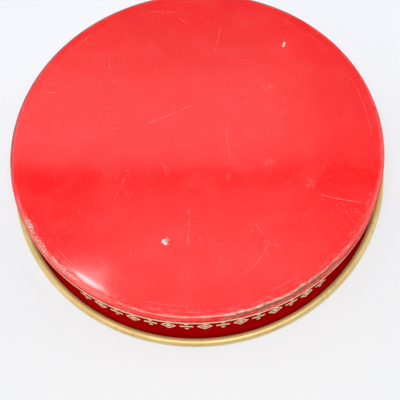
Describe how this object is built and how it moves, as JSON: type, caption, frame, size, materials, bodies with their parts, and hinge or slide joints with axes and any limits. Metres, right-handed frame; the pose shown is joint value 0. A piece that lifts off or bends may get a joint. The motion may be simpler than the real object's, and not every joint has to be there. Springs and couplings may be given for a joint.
{
  "type": "round serving tray",
  "caption": "Round drawn-steel serving tray lying face down: red enamelled flat base uppermost, short leaning wall and a gold-lacquered wired rim rolled into a round bead.",
  "frame": {"origin": "centre of the rim, in the plane that the rim's bead stands on, with the tray lying face down", "axes": "+Z along the tray's axis from the rim to the outside of the base; X and Y are free, as the tray is round"},
  "size_m": [0.305, 0.305, 0.046],
  "materials": {
    "enamelled_sheet": "gloss red stoving enamel outside, worn along the base's edge; gold lacquer on the bead and inside the wall",
    "drawn_wire": "bright drawn mild steel wire, hidden in the bead"
  },
  "bodies": {
    "root": {"tray_pan": "enamelled_sheet", "rim_wire": "drawn_wire"}
  },
  "joints": []
}
